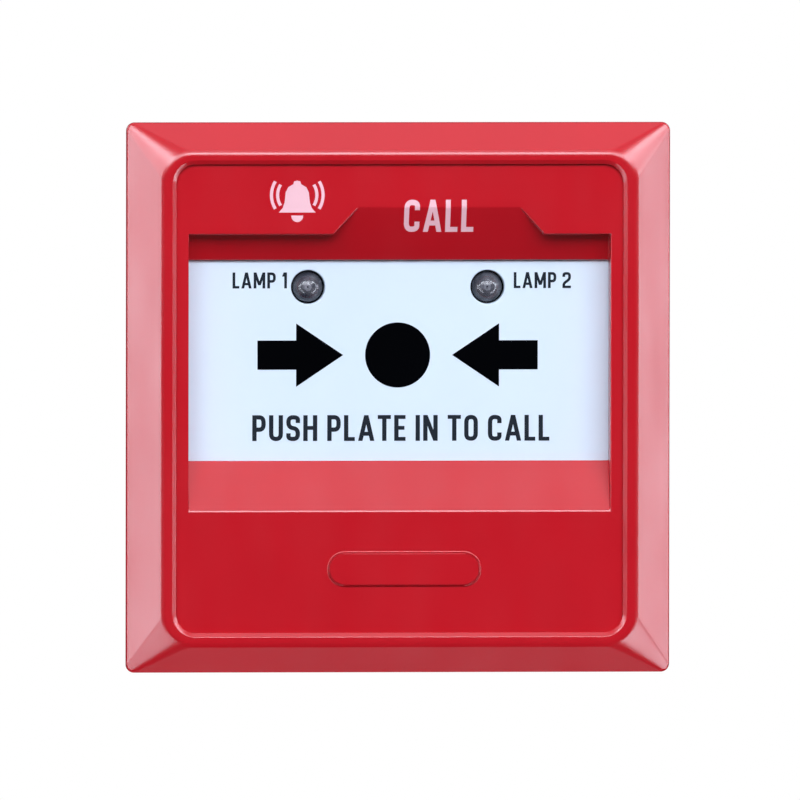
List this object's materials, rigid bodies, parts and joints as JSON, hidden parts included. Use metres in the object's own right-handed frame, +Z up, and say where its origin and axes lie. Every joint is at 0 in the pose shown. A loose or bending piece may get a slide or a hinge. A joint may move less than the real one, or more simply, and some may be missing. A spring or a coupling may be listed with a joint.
{
  "type": "manual call point",
  "caption": "Square wall-mounted fire alarm call point: sloping bezel, recessed window with a hinged, latching press plate, indicator lamps, telephone jack and key reset.",
  "frame": {"origin": "centre of the back face, which lies on the wall", "axes": "+X to the right and +Z up as seen by a person facing the call point; the front faces -Y and +Y points into the wall"},
  "size_m": [0.097, 0.046, 0.098],
  "materials": {
    "red_abs": "glossy moulded ABS",
    "white_plate": "satin moulded plate with printed marks",
    "white_acetal": "smooth acetal",
    "black_rubber": "matt rubber",
    "black_abs": "lightly textured moulding",
    "ivory_abs": "plain moulding",
    "green_board": "solder-masked glass-fibre board",
    "green_terminal": "glossy terminal block plastic",
    "steel": "zinc-plated steel",
    "aluminium_can": "drawn can",
    "chrome_bush": "bright plating",
    "brass": "plain brass",
    "led_lens": "smoke-tinted epoxy lens"
  },
  "bodies": {
    "housing": {"back_box": "red_abs", "outer_bezel": "red_abs", "front_cover": "red_abs", "perimeter_gasket": "black_rubber", "cable_grommet": "black_rubber", "chassis": "black_abs", "switch_case": "black_abs", "base_socket": "black_abs", "pin_header": "black_abs", "microcontroller": "black_abs", "led_spacer_1": "black_abs", "led_spacer_2": "black_abs", "phone_jack_body": "black_abs", "reset_key_bush": "black_abs", "terminal_base": "ivory_abs", "pcb": "green_board", "terminal_block_1": "green_terminal", "terminal_block_2": "green_terminal", "base_screw_1": "steel", "base_screw_2": "steel", "pcb_screw_1": "steel", "pcb_screw_2": "steel", "cover_screw_1": "steel", "cover_screw_2": "steel", "cover_screw_3": "steel", "cover_screw_4": "steel", "detent_screw": "steel", "lock_screw": "steel", "hinge_pin": "steel", "switch_lever_pin": "steel", "return_spring_1": "steel", "return_spring_2": "steel", "detent_spring": "steel", "capacitor": "aluminium_can", "phone_jack_bush": "chrome_bush", "switch_terminal_1": "brass", "switch_terminal_2": "brass", "switch_terminal_3": "brass", "jack_contact_1": "brass", "jack_contact_2": "brass", "terminal_screw_1": "brass", "terminal_screw_2": "brass", "terminal_screw_3": "brass", "terminal_screw_4": "brass", "terminal_screw_5": "brass", "terminal_screw_6": "brass", "alarm_led": "led_lens", "phone_led": "led_lens"},
    "press_plate_assembly": {"press_plate": "white_plate", "plate_carrier": "black_abs", "drive_pin": "steel"},
    "reset_slider": {"reset_slider": "white_acetal"},
    "switch_lever": {"switch_lever": "steel"},
    "switch_plunger": {"switch_plunger": "red_abs"}
  },
  "joints": [
    {"name": "plate_hinge", "type": "hinge", "parent": "housing", "child": "press_plate_assembly", "pos_m": [0, -0.0365, 0.029], "axis": [1, 0, 0], "range_deg": [0, 5], "deforming": ["return_spring_1", "return_spring_2"]},
    {"name": "reset_slide", "type": "slide", "parent": "housing", "child": "reset_slider", "axis": [0, 0, -1], "range_m": [0, 0.0026], "deforming": ["detent_spring"]},
    {"name": "switch_lever_pivot", "type": "hinge", "parent": "housing", "child": "switch_lever", "pos_m": [0.012, -0.0318, 0.0105], "axis": [1, 0, 0], "range_deg": [0, 11.5]},
    {"name": "switch_plunger_slide", "type": "slide", "parent": "housing", "child": "switch_plunger", "axis": [0, 1, 0], "range_m": [0, 0.0009]}
  ],
  "couplings": [
    {"joint": "reset_slide", "follows": "plate_hinge", "m_per_rad": 0.02979},
    {"joint": "switch_lever_pivot", "follows": "plate_hinge", "ratio": 2.28},
    {"joint": "switch_plunger_slide", "follows": "plate_hinge", "m_per_rad": 0.01024}
  ]
}
